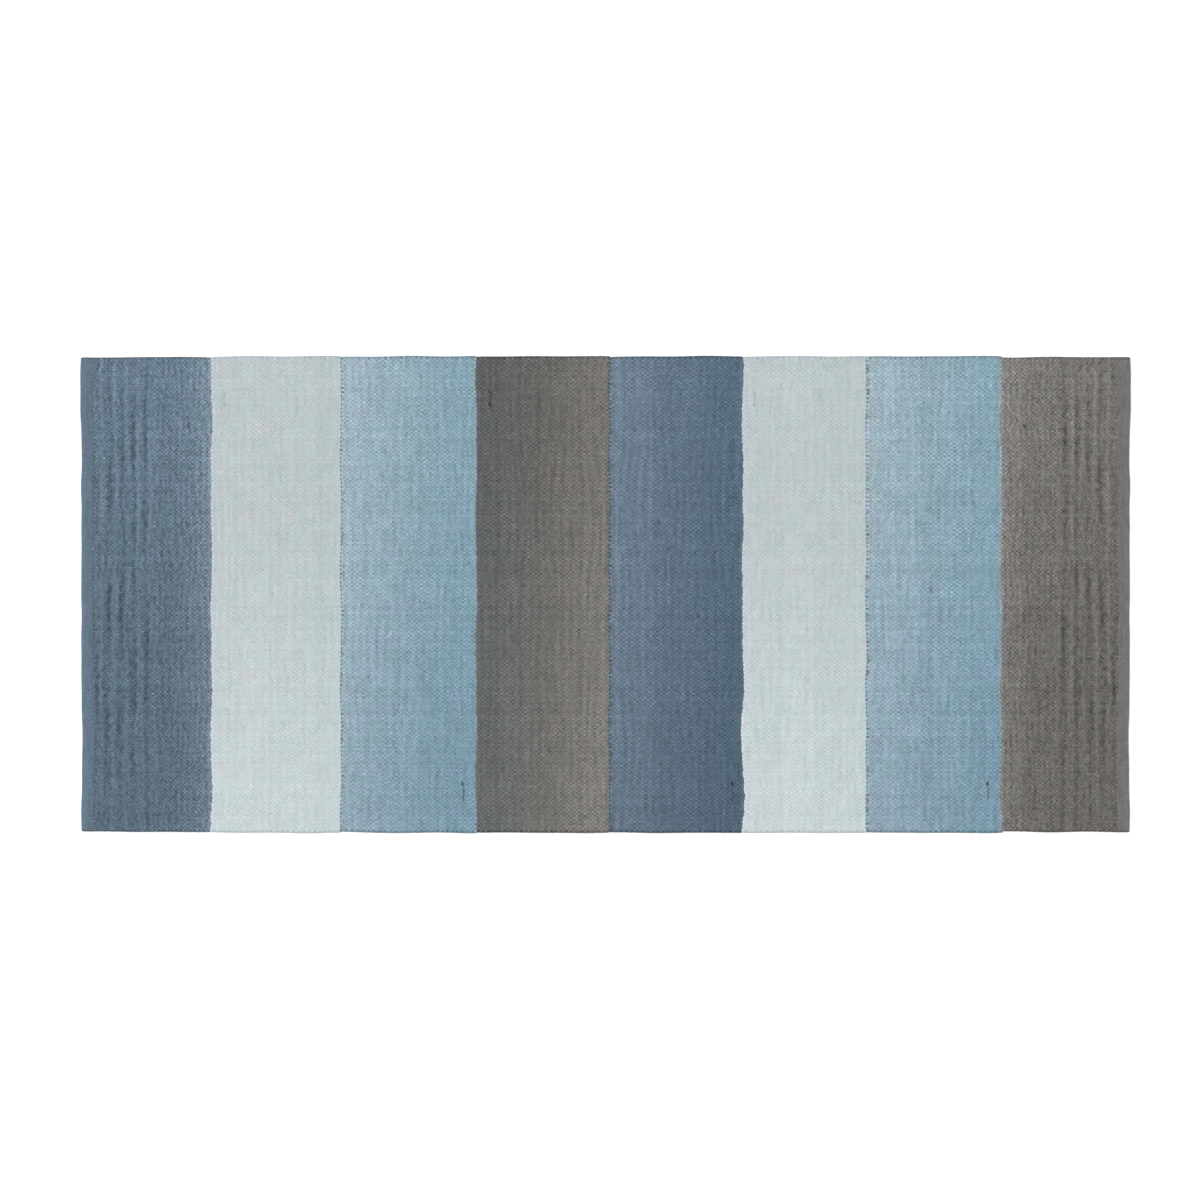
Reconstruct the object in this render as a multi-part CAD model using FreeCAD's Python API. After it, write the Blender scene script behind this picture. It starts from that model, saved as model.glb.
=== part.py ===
"""Runner rug: a cotton flat-weave cloth in eight cross bands of colour, laid flat.

+X runs along the rug's length, +Y across it, +Z up. The origin is the centre of the underside.
Every weft band is a flat sleeve, because its picks go round all the warp threads. The warp threads
run the whole length inside the sleeves and end in the two hems. Lengths are in millimetres.
"""
import FreeCAD, Part
import os

Vector = FreeCAD.Vector

# Driving dimensions of the cloth
RUG_LENGTH = 1318.0
RUG_WIDTH = 600.0
CLOTH_THICKNESS = 4.4
WEFT_WALL = 1.15            # cloth above, and below, the layer of warp threads
END_BAND_INSET = 1.2        # the end bands and the hems are this much narrower at each long edge

# Warp threads
WARP_DIAMETER = 1.7
WARP_SPACING = 2.6
WARP_GAPS = 228             # spaces between neighbouring warp threads, selvedge cords included
SELVEDGE_CORD_DIAMETER = 1.9
WARP_END_CLEARANCE = 0.4    # between the end of a warp thread and the start of its hem's fold

# Weft bands, from the left end to the right end, each with its share of the length
BANDS = (
    ("weft_band_1_slate", 148.1),
    ("weft_band_2_pale_grey", 164.0),
    ("weft_band_3_sky_blue", 169.6),
    ("weft_band_4_taupe", 167.8),
    ("weft_band_5_slate", 166.6),
    ("weft_band_6_pale_grey", 156.3),
    ("weft_band_7_sky_blue", 169.4),
    ("weft_band_8_warm_grey", 145.4),
)
PLAIN_JOIN_GAP = 0.2        # between two bands that simply meet
PICKED_JOIN_GAP = 1.4       # between two bands with a dark pick laid in between
PICKED_JOINS = (2, 4, 6)    # a dark pick follows these bands
CORNER_RADIUS = 2.0         # rounding of a band's plan corners at the selvedge

# Dark join picks and hem stitches
JOIN_PICK_DIAMETER = 1.0
STITCH_DIAMETER = 0.7
PICK_DEPTH = 0.1            # how far a join pick lies below the surface of the cloth
WARPS_PER_STITCH = 2        # a stitch goes round every second warp thread

# Hems
HEM_WIDTH = 14.0
SEAM_GAP = 1.4              # between a hem and its band, where the stitches go through

MID_HEIGHT = CLOTH_THICKNESS / 2
CAVITY_THICKNESS = CLOTH_THICKNESS - 2 * WEFT_WALL
SELVEDGE_CORD_Y = WARP_SPACING * WARP_GAPS / 2
FULL_HALF_WIDTH = RUG_WIDTH / 2
END_HALF_WIDTH = FULL_HALF_WIDTH - END_BAND_INSET
HEM_INNER_X = RUG_LENGTH / 2 - HEM_WIDTH


def stadium_wire(half_width, half_height, x):
    """A closed outline in the plane at x: two level runs joined by half circles."""
    straight = half_width - half_height
    top, bottom = MID_HEIGHT + half_height, MID_HEIGHT - half_height
    top_left, top_right = Vector(x, -straight, top), Vector(x, straight, top)
    bottom_left, bottom_right = Vector(x, -straight, bottom), Vector(x, straight, bottom)
    right_end, left_end = Vector(x, half_width, MID_HEIGHT), Vector(x, -half_width, MID_HEIGHT)
    return Part.Wire([
        Part.LineSegment(top_left, top_right).toShape(),
        Part.Arc(top_right, right_end, bottom_right).toShape(),
        Part.LineSegment(bottom_right, bottom_left).toShape(),
        Part.Arc(bottom_left, left_end, top_left).toShape(),
    ])


def flat_sleeve(start_x, end_x, half_width):
    """A band of weft: a flattened tube round the layer of warp threads."""
    run = Vector(end_x - start_x, 0, 0)
    outside = Part.Face(stadium_wire(half_width, MID_HEIGHT, start_x)).extrude(run)
    inside = Part.Face(stadium_wire(half_width - WEFT_WALL, CAVITY_THICKNESS / 2, start_x)).extrude(run)
    return outside.common(rounded_plan(start_x, end_x, half_width)).cut(inside)


def rounded_plan(start_x, end_x, half_width):
    """A block over the band's plan, with its four upright corners rounded."""
    block = Part.makeBox(end_x - start_x, 2 * half_width, CLOTH_THICKNESS, Vector(start_x, -half_width, 0))
    upright = [edge for edge in block.Edges if abs(edge.tangentAt(edge.FirstParameter).z) > 0.5]
    return block.makeFillet(CORNER_RADIUS, upright)


def dark_join_pick(x):
    """A dark pick at a change of colour: over all the warp threads and back under them."""
    radius = JOIN_PICK_DIAMETER / 2
    path = stadium_wire(FULL_HALF_WIDTH - PICK_DEPTH - radius, MID_HEIGHT - PICK_DEPTH - radius, x)
    start = path.Vertexes[0].Point
    section = Part.Wire(Part.Circle(start, Vector(0, 1, 0), radius).toShape())
    return path.makePipeShell([section], True, True)


def hem(side):
    """The heading cloth turned under at one end: two layers joined by a half-round fold."""
    fold_x = RUG_LENGTH / 2 - MID_HEIGHT
    outer_edges = folded_layer_edges(fold_x, MID_HEIGHT)
    inner_edges = folded_layer_edges(fold_x, CAVITY_THICKNESS / 2)
    ends = [
        Part.LineSegment(outer_edges[end].Vertexes[vertex].Point,
                         inner_edges[end].Vertexes[vertex].Point).toShape()
        for end, vertex in ((0, 0), (2, 1))
    ]
    profile = Part.Wire(Part.__sortEdges__(outer_edges + inner_edges + ends))
    folded = Part.Face(profile).extrude(Vector(0, 2 * END_HALF_WIDTH, 0))
    folded.translate(Vector(0, -END_HALF_WIDTH, 0))
    if side < 0:
        folded.rotate(Vector(0, 0, 0), Vector(0, 0, 1), 180)
    return folded


def folded_layer_edges(fold_x, radius):
    """One skin of the hem in side view: in along the top, round the fold and back underneath."""
    inner_top, fold_top = Vector(HEM_INNER_X, 0, MID_HEIGHT + radius), Vector(fold_x, 0, MID_HEIGHT + radius)
    inner_low, fold_low = Vector(HEM_INNER_X, 0, MID_HEIGHT - radius), Vector(fold_x, 0, MID_HEIGHT - radius)
    fold_tip = Vector(fold_x + radius, 0, MID_HEIGHT)
    return [
        Part.LineSegment(inner_top, fold_top).toShape(),
        Part.Arc(fold_top, fold_tip, fold_low).toShape(),
        Part.LineSegment(fold_low, inner_low).toShape(),
    ]


def hem_stitching(side):
    """A row of stitches in the seam gap, each a loop of thread that binds one warp thread."""
    x = side * (HEM_INNER_X - SEAM_GAP / 2)
    loop_radius = WARP_SPACING / 2
    stitches = []
    for number in range(WARPS_PER_STITCH, WARP_GAPS - 1, WARPS_PER_STITCH):
        center = Vector(x, -SELVEDGE_CORD_Y + WARP_SPACING * number, MID_HEIGHT)
        stitches.append(Part.makeTorus(loop_radius, STITCH_DIAMETER / 2, center, Vector(1, 0, 0)))
    return Part.makeCompound(stitches)


def lengthwise_cord(y, diameter):
    """One cord that runs the whole length and ends inside the two hems."""
    half_length = RUG_LENGTH / 2 - MID_HEIGHT - WARP_END_CLEARANCE
    start = Vector(-half_length, y, MID_HEIGHT)
    return Part.makeCylinder(diameter / 2, 2 * half_length, start, Vector(1, 0, 0))


def warp_threads():
    """All the warp threads between the two selvedge cords."""
    cords = []
    for number in range(1, WARP_GAPS):
        cords.append(lengthwise_cord(-SELVEDGE_CORD_Y + WARP_SPACING * number, WARP_DIAMETER))
    return Part.makeCompound(cords)


def weft_bands_and_join_picks():
    """The eight bands side by side, with a dark pick in the joins that have one."""
    pieces = {}
    start_x = -HEM_INNER_X + SEAM_GAP
    for number, (name, length) in enumerate(BANDS, start=1):
        is_end_band = number in (1, len(BANDS))
        half_width = END_HALF_WIDTH if is_end_band else FULL_HALF_WIDTH
        end_x = start_x + length
        gap = PICKED_JOIN_GAP if number in PICKED_JOINS else PLAIN_JOIN_GAP
        if number == len(BANDS):
            gap = 0
        pieces[name] = flat_sleeve(start_x, end_x - gap, half_width)
        if number in PICKED_JOINS:
            pieces[f"dark_join_pick_{number}_{number + 1}"] = dark_join_pick(end_x - gap / 2)
        start_x = end_x
    return pieces


def rug_pieces():
    pieces = weft_bands_and_join_picks()
    pieces["warp_threads"] = warp_threads()
    pieces["front_selvedge_cord"] = lengthwise_cord(-SELVEDGE_CORD_Y, SELVEDGE_CORD_DIAMETER)
    pieces["back_selvedge_cord"] = lengthwise_cord(SELVEDGE_CORD_Y, SELVEDGE_CORD_DIAMETER)
    pieces["left_hem"] = hem(-1)
    pieces["right_hem"] = hem(1)
    pieces["left_hem_stitching"] = hem_stitching(-1)
    pieces["right_hem_stitching"] = hem_stitching(1)
    return pieces


os.makedirs("parts", exist_ok=True)
for piece_name, shape in rug_pieces().items():
    shape.exportStep(f"parts/{piece_name}.step")
    print(piece_name, shape.isValid(), len(shape.Solids), round(shape.Volume / 1000, 2), "cm3")
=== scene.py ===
"""The runner rug's looks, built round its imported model: woven bands, dark join picks, hems and stitches.

Lengths are in metres, in the frame of the model: +X along the rug, +Y across it, +Z up from the floor.
The weave has its own two coordinates, kept on every point of the cloth. "pick" counts weft threads along
the rug, and "warp" counts warp threads across it, so a thread's middle is at a whole number.
"""

import math

import bpy
import numpy as np
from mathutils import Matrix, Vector


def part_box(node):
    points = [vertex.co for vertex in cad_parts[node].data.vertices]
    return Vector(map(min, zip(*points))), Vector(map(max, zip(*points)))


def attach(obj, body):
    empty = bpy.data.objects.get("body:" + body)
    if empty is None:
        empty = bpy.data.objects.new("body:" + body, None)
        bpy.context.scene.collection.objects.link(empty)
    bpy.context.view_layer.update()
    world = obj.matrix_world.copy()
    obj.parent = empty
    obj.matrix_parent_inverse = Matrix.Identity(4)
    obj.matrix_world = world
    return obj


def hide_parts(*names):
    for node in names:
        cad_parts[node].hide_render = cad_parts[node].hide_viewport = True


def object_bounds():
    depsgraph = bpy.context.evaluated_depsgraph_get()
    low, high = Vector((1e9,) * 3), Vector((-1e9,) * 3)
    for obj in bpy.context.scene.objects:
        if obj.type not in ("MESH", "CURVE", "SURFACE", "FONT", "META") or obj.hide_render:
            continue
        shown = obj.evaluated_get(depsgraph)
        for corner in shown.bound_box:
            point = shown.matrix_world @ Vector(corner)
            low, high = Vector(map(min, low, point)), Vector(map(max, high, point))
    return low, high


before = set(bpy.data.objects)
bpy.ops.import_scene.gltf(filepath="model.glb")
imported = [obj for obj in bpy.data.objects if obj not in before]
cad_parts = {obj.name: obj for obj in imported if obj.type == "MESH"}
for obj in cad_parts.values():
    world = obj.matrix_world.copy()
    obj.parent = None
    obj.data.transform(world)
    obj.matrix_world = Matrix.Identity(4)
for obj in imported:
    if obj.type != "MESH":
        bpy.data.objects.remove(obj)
cad_low, cad_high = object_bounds()

MM = 0.001
BODY = "root"

# ------------------------------ the cloth, measured on the frame
FLOOR_Z = cad_low.z
THICKNESS = cad_high.z - cad_low.z
MID_Z = (cad_high.z + cad_low.z) / 2
SELVEDGE_Y = sum(corner.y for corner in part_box("back_selvedge_cord")) / 2
WARP_SPACING = 2.6 * MM
WARP_GAPS = round(2 * SELVEDGE_Y / WARP_SPACING)
BANDS = sorted(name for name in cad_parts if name.startswith("weft_band"))
JOIN_PICKS = sorted(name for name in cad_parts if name.startswith("dark_join_pick"))

# ------------------------------ weave
PICK_SPACING = 3.3 * MM
END_BAND_PICK_SPACING = 2.95 * MM
PICK_SPACING_SPREAD = 0.18      # how unevenly the picks are beaten up
RELIEF = 0.46 * MM              # height of a crown above the cloth's mean surface
CROWN_SHARE = 0.86              # of the relief, where a weft thread passes over a warp thread
RIB_SHARE = 0.14                # of the relief, along every weft thread
CROWN_SPREAD = 0.38             # how much one crown differs from the next
PICK_WOBBLE = 0.20 * MM         # how far a crown lies from its pick's line
PICK_DRIFT = 0.24 * MM          # how far a pick wanders from a straight line
TURN_STEPS = 5                  # points on the half-round turn of a weft thread at the selvedge
SELVEDGE_LIFT = 0.25 * MM       # extra thickness over the selvedge cord
TURN_INSET = 0.15 * MM          # how far the mean surface of the turns lies inside the full width
PLAIN_TOOTH = 0.45 * MM         # how far a crown of the last pick reaches into the next band
PICKED_TOOTH = 0.45 * MM        # the same beside a dark join pick, which lies in a groove
PICKED_INSET = 0.16 * MM        # how far each band stands back from that pick's line
GROOVE = 0.12 * MM              # depth of that groove
NOTCH = 0.5 * MM                # how far the long edge is drawn in beside a join
NOTCH_LENGTH = 1.6 * MM

# ------------------------------ puckers, creases that run across the rug
BROAD_PUCKER_SPACING = 16.5 * MM
FIRST_PUCKER = 17 * MM          # the first broad crease, seen from the end of the rug
FINE_PUCKER_SPACING = 7.5 * MM
PUCKER_REACH = 90 * MM          # the broad creases end this far from an end of the rug
FAINT_PUCKER_SPACING = 10.5 * MM        # in the bands that have no hem
END_BAND_PUCKER = 1.1 * MM
MIDDLE_BAND_PUCKER = 0.35 * MM


def wave_field(seed, x_length, y_length, count=12):
    """A repeatable smooth field over the rug, with mean 0 and a standard deviation of 1."""
    rng = np.random.default_rng(seed)
    across = 2 * np.pi / (x_length * rng.uniform(0.75, 1.35, count))
    along = 2 * np.pi / (y_length * rng.uniform(0.6, 1.8, count)) * rng.choice((-1, 1), count)
    phase = rng.uniform(0, 2 * np.pi, count)

    def field(x, y):
        total = 0
        for k_x, k_y, start in zip(across, along, phase):
            total = total + np.cos(k_x * x + k_y * y + start)
        return total * math.sqrt(2 / count)

    return field


def smooth_step(low, high, value):
    t = np.clip((value - low) / (high - low), 0, 1)
    return t * t * (3 - 2 * t)


def bell(value, middle, width):
    return np.exp(-((value - middle) / width) ** 2)


# ------------------------------ lines across the rug, which wander
end_wander = wave_field(11, 1, 60 * MM)
seam_wander = wave_field(12, 1, 25 * MM)


def end_bulge(y):
    """How far an end of the rug stands out past its mean line. Both ends bulge alike."""
    return (
        2.2 * MM * bell(y, 262 * MM, 30 * MM)
        - 1.3 * MM * bell(y, -190 * MM, 45 * MM)
        - 0.5 * MM * bell(y, 296 * MM, 12 * MM)
        + 0.25 * MM * end_wander(0, y)
    )


def seam_bulge(y):
    """How far the seam of a hem stands out. The hem widens into its back corner."""
    wander = 1.6 * MM * bell(y, 0, 120 * MM) - 0.2 * MM + 0.6 * MM * seam_wander(0, y)
    wide_corner = 9 * MM * smooth_step(262 * MM, 300 * MM, y)
    return 0.8 * end_bulge(y) + wander - wide_corner


def join_line(seed, slow_amplitude, quick_amplitude):
    slow = wave_field(seed, 1, 110 * MM)
    quick = wave_field(seed + 1, 1, 14 * MM)
    return lambda y: slow_amplitude * slow(0, y) + quick_amplitude * quick(0, y)


def mirrored(line):
    return lambda y: -line(y)


SOFT = (0.75 * MM, 0.30 * MM)
CRISP = (0.45 * MM, 0.15 * MM)
join_1 = join_line(21, *SOFT)
join_lines = [
    join_1,
    join_line(23, *CRISP),
    join_line(25, *SOFT),
    join_line(27, *CRISP),
    join_line(29, *SOFT),
    join_line(31, *CRISP),
    mirrored(join_1),
]


# ------------------------------ meshes
def add_piece(name, points, faces, flat_from=None, attributes=None, material=None):
    """A mesh piece that rides on the rug's body. Faces from number flat_from on are shaded flat."""
    mesh = bpy.data.meshes.new(name)
    mesh.from_pydata(points.tolist(), [], faces)
    smooth = np.ones(len(faces), dtype=bool)
    if flat_from is not None:
        smooth[flat_from:] = False
    mesh.polygons.foreach_set("use_smooth", smooth)
    for key, values in (attributes or {}).items():
        layer = mesh.attributes.new(key, "FLOAT", "POINT")
        layer.data.foreach_set("value", np.asarray(values, dtype=np.float32).ravel())
    mesh.update()
    mesh.materials.append(material)
    piece = bpy.data.objects.new(name, mesh)
    bpy.context.scene.collection.objects.link(piece)
    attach(piece, BODY)
    return piece


def tube_faces(rows, ring):
    """Quads between each ring of points and the next, facing out when rings run +Y on top."""
    first = np.arange(rows - 1)[:, None] * ring
    here = np.arange(ring)[None, :]
    following = (here + 1) % ring
    corners = (first + here, first + ring + here, first + ring + following, first + following)
    return np.stack(corners, -1).reshape(-1, 4).tolist()


def relief(pick, warp, slant, crown_scale):
    """Height of the weave, from about -1 in a pit to 1 on a crown. A slant joins crowns diagonally."""
    crown = np.cos(np.pi * pick) * np.cos(np.pi * warp)
    crown = crown + slant * np.sin(np.pi * pick) * np.sin(np.pi * warp)
    rib = np.cos(2 * np.pi * pick)
    return CROWN_SHARE * crown * crown_scale + RIB_SHARE * rib


def cross_section(reach):
    """The ring of points round one weft thread: over the warp, round the back selvedge, under, and back.

    reach is how far the turns stand out past the selvedge cords. Returns the warp coordinate, y, z and
    the outward direction's y and z. The warp coordinate goes on by one on the underside, where what was
    over is under.
    """
    steps = 2 * WARP_GAPS + 1
    warp = np.arange(steps) / 2
    flat_y = -SELVEDGE_Y + warp * WARP_SPACING
    half = THICKNESS / 2 - RELIEF
    turn = np.linspace(0, 1, TURN_STEPS + 2)[1:-1]
    angle = np.pi * (0.5 - turn)
    turn_y = SELVEDGE_Y + reach * np.cos(angle)
    turn_z = half * np.sin(angle)
    level = np.full(steps, half)
    zero = np.zeros(steps)
    one = np.ones(steps)
    all_warp = np.concatenate([warp, WARP_GAPS + turn, warp[::-1] + 1, 1 - turn])
    all_y = np.concatenate([flat_y, turn_y, flat_y[::-1], -turn_y])
    all_z = MID_Z + np.concatenate([level, turn_z, -level, -turn_z])
    out_y = np.concatenate([zero, np.cos(angle), zero, -np.cos(angle)])
    out_z = np.concatenate([one, np.sin(angle), -one, -np.sin(angle)])
    return all_warp, all_y, all_z, out_y, out_z


def cap_faces(row_start, facing_back):
    """Faces that close a tube of cross sections at one end."""
    steps = 2 * WARP_GAPS + 1
    top = row_start + np.arange(steps)
    low = row_start + 2 * steps + TURN_STEPS - 1 - np.arange(steps)
    back_turn = row_start + steps + np.arange(TURN_STEPS)
    front_turn = row_start + 2 * steps + TURN_STEPS + np.arange(TURN_STEPS)
    faces = np.stack([top[:-1], top[1:], low[1:], low[:-1]], -1).tolist()
    faces.append([top[-1], *back_turn, low[-1]])
    faces.append([low[0], *front_turn, top[0]])
    if facing_back:
        return faces
    return [face[::-1] for face in faces]


# ------------------------------ woven bands
weave_strength = wave_field(45, 45 * MM, 40 * MM)
weave_slant = wave_field(71, 17 * MM, 15 * MM)
pick_drift = wave_field(47, 15 * MM, 32 * MM)


class Creases:
    """Roughly parallel creases across the rug, at one spacing, which wander, fade and come back."""

    def __init__(self, seed, spacing, steadiness, first=0.0, drift=0.8):
        self.spacing = spacing
        self.first = first
        self.drift_size = drift
        self.drift = wave_field(seed, 85 * MM, steadiness)
        self.jog = wave_field(seed + 1, 60 * MM, 13 * MM)
        self.strength = wave_field(seed + 2, 4 * spacing, 130 * MM)

    def depth(self, x, y):
        """From about -0.6 on a ridge to 1 in a valley."""
        turns = (x - self.first) / self.spacing
        phase = 2 * np.pi * turns + self.drift_size * self.drift(x, y) + 0.3 * self.jog(x, y)
        swing = 0.5 + 0.5 * np.cos(phase)
        profile = swing - 0.6 * (1 - swing)
        return profile * np.clip(0.80 + 0.32 * self.strength(x, y), 0.1, 1.3)


broad_creases = Creases(41, BROAD_PUCKER_SPACING, 700 * MM, first=FIRST_PUCKER, drift=0.6)
fine_creases = Creases(51, FINE_PUCKER_SPACING, 160 * MM, drift=1.2)
faint_creases = Creases(61, FAINT_PUCKER_SPACING, 300 * MM, drift=1.2)


def pucker_strength(y):
    """The broad creases fade near the middle of the rug's width and towards its two long edges."""
    middle = 0.7 * bell(y, 46 * MM, 20 * MM)
    front_edge = 0.55 * bell(y, -255 * MM, 60 * MM)
    back_edge = 0.3 * bell(y, 290 * MM, 45 * MM)
    return 1 - middle - front_edge - back_edge


def puckered(x):
    """1 where the broad creases run, beside a hem, and 0 elsewhere."""
    from_end = cad_high.x - np.abs(x)
    started = smooth_step(13 * MM, 22 * MM, from_end)
    ended = smooth_step(PUCKER_REACH - 6 * MM, PUCKER_REACH + 8 * MM, from_end)
    return started * (1 - ended)


def pucker_valley(x, y, is_end_band):
    """Depth of the puckers, from -0.6 to 1. The two end bands pucker alike, seen from their hems."""
    if not is_end_band:
        return 0.40 * faint_creases.depth(x, y)
    from_end = cad_high.x - np.abs(x)
    broad = pucker_strength(y) * broad_creases.depth(from_end, y)
    fine = fine_creases.depth(from_end, y)
    strong = puckered(x)
    return (broad + 0.40 * fine) * strong + 0.45 * fine * (1 - strong)


# ------------------------------ the long edges, which step at each join
def long_edge_steps():
    """How far each band starts in from the edge on either side, before the edge eases out again."""
    rng = np.random.default_rng(48)
    return rng.uniform(0.2, 1.3, (len(BANDS), 2)) * MM


EDGE_STEPS = long_edge_steps()
edge_wander = wave_field(46, 90 * MM, 1)


def edge_inset(number, x, from_start, is_back):
    """How far the rug's edge lies in from its full width, at x in this band."""
    step = np.where(is_back, EDGE_STEPS[number, 0], EDGE_STEPS[number, 1])
    wander = edge_wander(np.where(is_back, x, x + 0.5), 0)
    return step * np.exp(-from_start / (38 * MM)) + (0.05 + 0.18 * wander) * MM


def band_lines(start, end, across, ring_y, reach, number):
    """x and y of every point of a band's rings, from one boundary line to the other."""
    length = end["x"] - start["x"]
    x = start["x"] + length * across
    y = ring_y * (1 - edge_inset(number, x, x - start["x"], ring_y > 0) / SELVEDGE_Y)
    x = x + (1 - across) * start["line"](y) + across * end["line"](y)
    notch = start["notch"] * np.exp(-across * length / NOTCH_LENGTH)
    notch = notch + end["notch"] * np.exp(-(1 - across) * length / NOTCH_LENGTH)
    at_turn = smooth_step(SELVEDGE_Y - 4 * MM, SELVEDGE_Y + reach, np.abs(ring_y))
    return x, y - notch * np.sign(ring_y) * at_turn


def add_teeth(x, start, end, first_pick, last_pick, warp):
    """Let the crowns of a band's first and last pick reach into its neighbours."""
    crowns = np.cos(np.pi * warp)
    x[0] += start["inset"] - start["tooth"] * np.cos(np.pi * first_pick) * crowns
    x[-1] += end["tooth"] * np.cos(np.pi * last_pick) * crowns - end["inset"]


def pucker_rise(valley, ring_y, out_z, is_end_band):
    """How far the puckers lift or lower the top of the cloth. They flatten out at the selvedges."""
    depth = END_BAND_PUCKER if is_end_band else MIDDLE_BAND_PUCKER
    on_top = smooth_step(-0.5, 1, out_z)
    at_selvedge = smooth_step(SELVEDGE_Y - 6 * MM, SELVEDGE_Y, np.abs(ring_y))
    return -depth * valley * on_top * (1 - 0.7 * at_selvedge)


def cord_rise(ring_y, out_z):
    """How far the top of the cloth is lifted over the selvedge cords."""
    over_cord = bell(np.abs(ring_y), SELVEDGE_Y + 0.4 * MM, 2.2 * MM)
    return SELVEDGE_LIFT * over_cord * smooth_step(-0.5, 1, out_z)


def woven_band(name, start, end, first_pick, material):
    """One colour band of the cloth, as a closed shell with the weave's own relief on both faces.

    start and end are the band's two boundaries. Returns the piece and the number of the next pick.
    """
    number = BANDS.index(name)
    is_end_band = number in (0, len(BANDS) - 1)
    spacing = END_BAND_PICK_SPACING if is_end_band else PICK_SPACING
    picks = round((end["x"] - start["x"]) / spacing)
    rng = np.random.default_rng(100 + number)
    steps = rng.uniform(1 - PICK_SPACING_SPREAD, 1 + PICK_SPACING_SPREAD, picks).repeat(2)
    across = (np.concatenate([[0], np.cumsum(steps)]) / steps.sum())[:, None]
    pick = (first_pick - 0.5 + np.arange(2 * picks + 1) / 2)[:, None]
    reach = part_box(name)[1].y - SELVEDGE_Y - TURN_INSET
    warp, ring_y, ring_z, out_y, out_z = cross_section(reach)

    x, y = band_lines(start, end, across, ring_y, reach, number)
    add_teeth(x, start, end, first_pick, first_pick + picks - 1, warp)
    x[1:-1] += (PICK_DRIFT * pick_drift(x, y) + rng.normal(0, PICK_WOBBLE, x.shape))[1:-1]

    flattened = puckered(x) if is_end_band else 0 * x
    patches = np.clip(1 + 0.30 * weave_strength(x, y), 0.4, 1.5) * (1 - 0.3 * flattened)
    crown_scale = rng.normal(1, CROWN_SPREAD, y.shape) * patches
    slant = np.clip(0.30 * weave_slant(x, y), -0.6, 0.6)
    valley = pucker_valley(x, y, is_end_band)
    rise = RELIEF * relief(pick, warp, slant, crown_scale)
    rise += pucker_rise(valley, ring_y, out_z, is_end_band) + cord_rise(ring_y, out_z)
    rise[0] -= start["groove"]
    rise[-1] -= end["groove"]
    points = np.stack([x, y + out_y * rise, ring_z + out_z * rise], -1)
    points[..., 2] = np.maximum(points[..., 2], FLOOR_Z)

    faces = tube_faces(*x.shape)
    flat_from = len(faces)
    last_ring = x.size - x.shape[1]
    faces += cap_faces(0, True) + cap_faces(last_ring, False)
    past_cord = smooth_step(SELVEDGE_Y - 0.6 * MM, SELVEDGE_Y + 1.4 * MM, np.abs(ring_y))
    ones = np.ones_like(x)
    # valley and edge also mask the painted shade in the puckers' valleys and along the rounded long edge.
    attributes = {
        "pick": pick * ones,
        "warp": warp * ones,
        "across": across * ones,
        "valley": valley,
        "flattened": flattened,
        "slant": slant,
        "along": y / cad_high.y,
        "edge": past_cord * ones,
    }
    piece = add_piece(
        name.replace("weft", "woven"), points.reshape(-1, 3), faces, flat_from, attributes, material)
    return piece, first_pick + picks


# ------------------------------ materials
SURROUND = 1.05         # brightness of the white surround
SUN = 1.7               # strength of the one soft lamp
SUN_TILT = math.radians(32)
LIGHT_LEVEL = SURROUND + SUN * math.cos(SUN_TILT) / math.pi     # what they make of a white sheet lying flat
DARK_THREAD = (66, 80, 92)              # the display colours of the threads in the joins
WASHED_OUT_THREAD = (118, 137, 148)
USUAL_BAND_LENGTH = 168 * MM            # turns a share of the way across a band into a length
KNOT_HALF_SIZE = (2.3 * MM, 3.8 * MM)   # of a worked-in thread end, along the rug and across it
TAIL_HALF_WIDTH = 1.5 * MM
END_WAVER = 1.6 * MM                    # how far a thread end strays from a straight line


def linear(colour):
    """An eight-bit display colour as the reflectance that shows it under the studio light."""
    values = []
    for channel in colour:
        value = channel / 255
        value = value / 12.92 if value <= 0.04045 else ((value + 0.055) / 1.055) ** 2.4
        values.append(value / LIGHT_LEVEL)
    return (*values, 1)


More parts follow.
